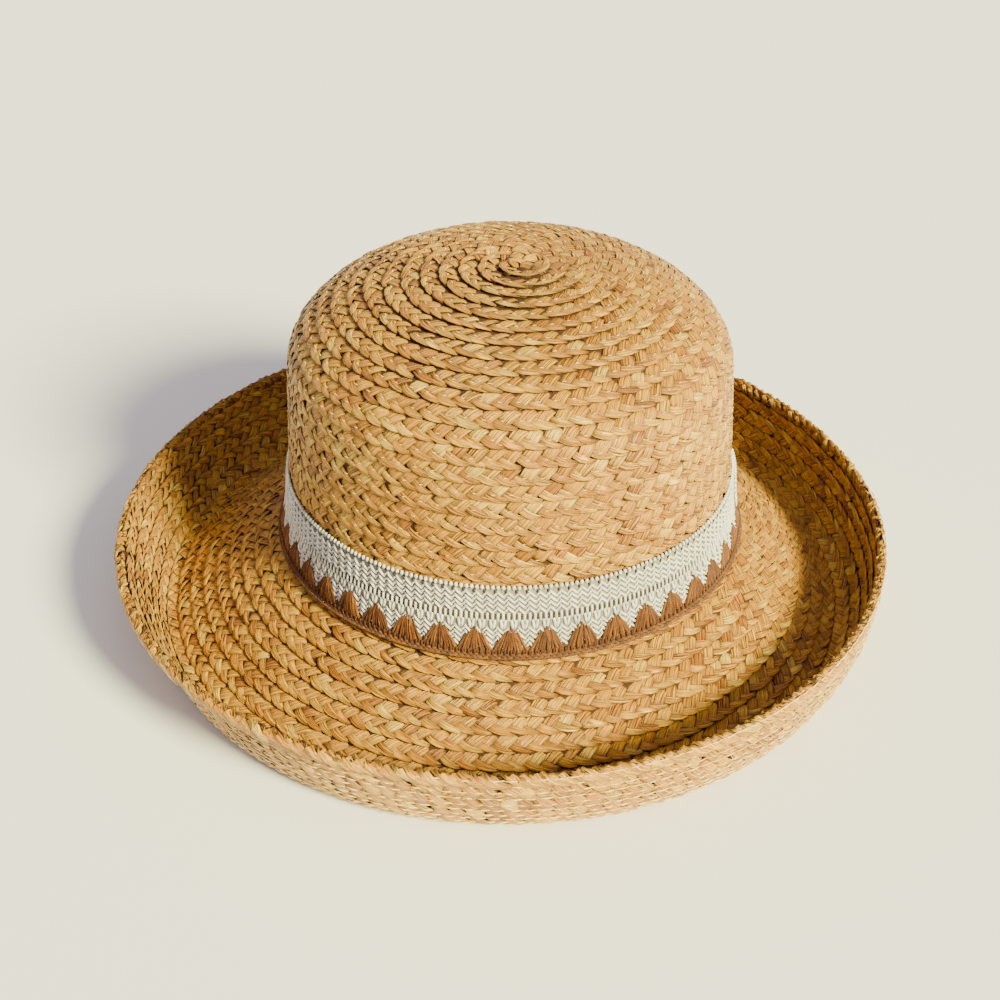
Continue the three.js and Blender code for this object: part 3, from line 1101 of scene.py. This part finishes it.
def strand_material(name, ramp, streak, rough, sheen, bump, along, across, painted_shade_least):
    """Fibre material: a tint for each strand, streaks along it, and painted shade where it passes
    under its neighbours and along its side edges.
    """
    material, tree, shader = new_material(name)
    tint = add_node(tree, "ShaderNodeAttribute", {"attribute_name": "tint"})
    shade = add_node(tree, "ShaderNodeAttribute", {"attribute_name": "shade"})
    tones = tone_ramp(tree, ramp)
    fibres = add_node(
        tree, "ShaderNodeGroup", {"node_tree": FIBRES}, {"Along": along, "Across": across}
    )
    darken = add_node(tree, "ShaderNodeMix", MULTIPLIED, {"B": colour(streak)})
    # The shade attribute is painted shade; the darkest brightness it gives is set here
    painted_shade = add_node(tree, "ShaderNodeMapRange", values={"To Min": painted_shade_least})
    scale = add_node(tree, "ShaderNodeMix", MULTIPLIED, {"Factor": 1.0})
    relief = add_node(
        tree, "ShaderNodeBump", values={"Strength": bump, "Distance": RELIEF_DEPTH}
    )

    # Some strands are split into fine fibres and others are smooth, so the streaks vary
    times = add_node(tree, "ShaderNodeMath", {"operation": "MULTIPLY"}, {1: SPLIT_SPREAD})
    wrap = add_node(tree, "ShaderNodeMath", {"operation": "WRAP"}, {1: 1.0, 2: LEAST_SPLIT})
    split = add_node(tree, "ShaderNodeMath", {"operation": "MULTIPLY"})
    connect(
        tree,
        (tint, "Fac", times, 0),
        (times, "Value", wrap, 0),
        (wrap, "Value", split, 0),
        (fibres, "Streak", split, 1),
        (tint, "Fac", tones, "Fac"),
        (tones, "Color", darken, "A"),
        (split, "Value", darken, "Factor"),
        (shade, "Fac", painted_shade, "Value"),
        (darken, "Result", scale, "A"),
        (painted_shade, "Result", scale, "B"),
        (scale, "Result", shader, "Base Color"),
        (fibres, "Streak", relief, "Height"),
        (relief, "Normal", shader, "Normal"),
    )
    shader.inputs["Roughness"].default_value = rough
    shader.inputs["Sheen Weight"].default_value = sheen
    shader.inputs["Sheen Roughness"].default_value = 0.5
    return material


# %% Raffia, cotton, yarn and thread
RAFFIA_TONES = (
    (0.0, "AC6C1A"), (0.1, "C88822"), (0.5, "D89A2A"), (0.88, "E0A834"), (0.96, "EAC050"),
    (1.0, "CE8420"),
)
COTTON_TONES = ((0.0, "D4D5D8"), (1.0, "F0F1F5"))
YARN_TONES = ((0.0, "6C3A0A"), (0.5, "864A0E"), (1.0, "A0621A"))
THREAD_TONES = ((0.0, "D9B77C"), (1.0, "EBD5A6"))
raffia = strand_material(
    "raffia", RAFFIA_TONES, streak="63340C", rough=0.4, sheen=0.05, bump=1.0,
    along=0.1, across=1.5, painted_shade_least=0.12,
)
cotton = strand_material(
    "cotton_tape", COTTON_TONES, streak="C4C4C6", rough=0.85, sheen=0.25, bump=0.4,
    along=1.2, across=5.0, painted_shade_least=1.0,
)
brown_yarn = strand_material(
    "brown_yarn", YARN_TONES, streak="4A2808", rough=0.85, sheen=0.1, bump=0.8,
    along=1.5, across=7.0, painted_shade_least=1.0,
)
pale_thread = strand_material(
    "pale_thread", THREAD_TONES, streak="CFAE78", rough=0.6, sheen=0.1, bump=0.3,
    along=1.0, across=4.0, painted_shade_least=1.0,
)

# %% Plain grounds
GROUND_ROUGH = 0.9
MOTTLE = 0.12
MOTTLE_SCALE = 600.0


def plain_material(name, code):
    """Matt ground colour with a fine mottle."""
    material, tree, shader = new_material(name)
    base = colour(code)
    dark = [c * (1 - MOTTLE) for c in base[:3]] + [1]
    light = [min(1, c * (1 + MOTTLE)) for c in base[:3]] + [1]
    noise = add_node(tree, "ShaderNodeTexNoise", values={"Scale": MOTTLE_SCALE})
    mix = add_node(tree, "ShaderNodeMix", {"data_type": "RGBA"}, {"A": dark, "B": light})
    connect(tree, (noise, "Fac", mix, "Factor"), (mix, "Result", shader, "Base Color"))
    shader.inputs["Roughness"].default_value = GROUND_ROUGH
    return material


# Dark brown painted shade, for the inside of the plait seen between strands
heart_painted_shade = plain_material("plait_heart_painted_shade", "3A1E0A")
# Grey ground, partly painted shade between the tape's stitches
tape_ground_shade_tone = plain_material("tape_ground", "807A74")
# Dark grey painted shade, in the tape's slots
tape_slot_shade_tone = plain_material("tape_slot_painted_shade", "40362E")
# Dark brown painted shade, in the trim's holes and between its yarns
trim_gap_shade_tone = plain_material("trim_gap_painted_shade", "4A2812")
print("materials", len(bpy.data.materials))

# %% [markdown]
# ## Dressing
# Every piece rides on the hat's one body, and where it is the visible form of a solid it
# replaces it. One table says all of that, so nothing is forgotten.

# %% Dress the pieces
DRESSING = (
    # piece, material, slot, nodes that it stands for
    (crown_plait, raffia, "raffia", ("crown",)),
    (crown_inside, raffia, "raffia", ()),
    (crown_heart, heart_painted_shade, "raffia", ()),
    (brim_slope, raffia, "raffia", ("brim",)),
    (brim_edge, raffia, "raffia", ("brim_roll",)),
    (brim_slope_under, raffia, "raffia", ()),
    (brim_edge_under, raffia, "raffia", ()),
    (seat_plait, raffia, "raffia", ()),
    (rim_plait, raffia, "raffia", ()),
    (seam_thread, pale_thread, "raffia", ()),
    (crown_thread, pale_thread, "raffia", ()),
    (brim_heart, heart_painted_shade, "raffia", ()),
    (tape_stitches, cotton, "tape", ("band",)),
    (tape_ground, tape_ground_shade_tone, "tape", ()),
    (tape_painted_slot_shade, tape_slot_shade_tone, "tape", ()),
    (lap_stitches, cotton, "tape", ("band_lap",)),
    (lap_ground, tape_ground_shade_tone, "tape", ()),
    (trim_yarns, brown_yarn, "trim_yarn", ("scallop_trim",)),
    (trim_painted_gap_shade, trim_gap_shade_tone, "trim_yarn", ()),
)
for piece, material, slot, nodes in DRESSING:
    piece.data.materials.append(material)
    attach(piece, "root")
    if nodes:
        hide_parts(*nodes)
print("triangles in all", sum(len(row[0].data.polygons) * 2 for row in DRESSING))

# %% [markdown]
# ## Floor, light and camera
# The photograph shows the hat on white, lit warmly from the right. A pale floor, a sun wide
# enough for soft shadows and a weak fill give the same. The bluish floor takes the warmth of
# the light back out, so that it looks white. The camera stands where a fit of the rim and
# tape put it: in another place the ellipses of the rim and the tape would not both agree.

# %% Floor
FLOOR_SIZE = 60.0
FLOOR_GAP = 0.0002
bpy.ops.mesh.primitive_plane_add(size=FLOOR_SIZE, location=(0, 0, -FLOOR_GAP))
floor = bpy.context.object
floor.name = "floor"
floor_paint, _, floor_shader = new_material("floor_paint")
floor_shader.inputs["Base Color"].default_value = (0.83, 0.87, 1.0, 1)
floor_shader.inputs["Roughness"].default_value = 0.9
floor.data.materials.append(floor_paint)

# %% Sky
world = bpy.data.worlds.new("studio")
world.use_nodes = True
sky = world.node_tree.nodes["Background"]
sky.inputs["Color"].default_value = (1.0, 0.88, 0.8, 1)
sky.inputs["Strength"].default_value = 0.68
bpy.context.scene.world = world


# %% Key and fill
def add_light(name, kind, tone, power, turns):
    """A light in the scene, turned as its holder says."""
    lamp = bpy.data.lights.new(name, kind)
    lamp.color = tone
    lamp.energy = power
    holder = bpy.data.objects.new(name, lamp)
    holder.rotation_euler = turns
    bpy.context.scene.collection.objects.link(holder)
    return holder


# The warm light comes from the right front, low enough for the rim to shade the brim
KEY_TURN = math.radians(-45)
KEY_RISE = math.radians(31)
key_turns = (math.pi / 2 - KEY_RISE, 0, KEY_TURN + math.pi / 2)
key = add_light("key", "SUN", (1.0, 0.92, 0.42), 15.0, key_turns)
key.data.angle = math.radians(15)

FILL_PLACE = np.array([0.9, -1.5, 1.7])
FILL_TARGET = np.array([0, 0, 0.05])
aim = FILL_TARGET - FILL_PLACE
fill_tilt = math.acos(-aim[2] / np.linalg.norm(aim))
fill_turns = (fill_tilt, 0, math.atan2(aim[1], aim[0]) - math.pi / 2)
fill = add_light("fill", "AREA", (1.0, 0.97, 0.92), 5.0, fill_turns)
fill.location = FILL_PLACE
fill.data.shape = "DISK"
fill.data.size = 1.6
print("lights", key.name, fill.name)

# %% Camera
VIEW_RISE = math.radians(34.56)
VIEW_DISTANCE = 0.688
FOCAL_PIXELS = 1559.0
IMAGE_PIXELS = 1000.0
AIM_SIDE = -0.3
AIM_OVER_RIM = 4.3
AIM = np.array([AIM_SIDE, 0.0, RIM_HEIGHT + AIM_OVER_RIM]) * MM
lens = bpy.data.cameras.new("camera")
lens.sensor_width = 36.0
lens.lens = FOCAL_PIXELS / IMAGE_PIXELS * lens.sensor_width
camera = bpy.data.objects.new("camera", lens)
bpy.context.scene.collection.objects.link(camera)
camera.location = AIM + VIEW_DISTANCE * np.array([0, -math.cos(VIEW_RISE), math.sin(VIEW_RISE)])
camera.rotation_euler = (math.pi / 2 - VIEW_RISE, 0, 0)
bpy.context.scene.camera = camera
print("camera at", [round(v, 3) for v in camera.location])
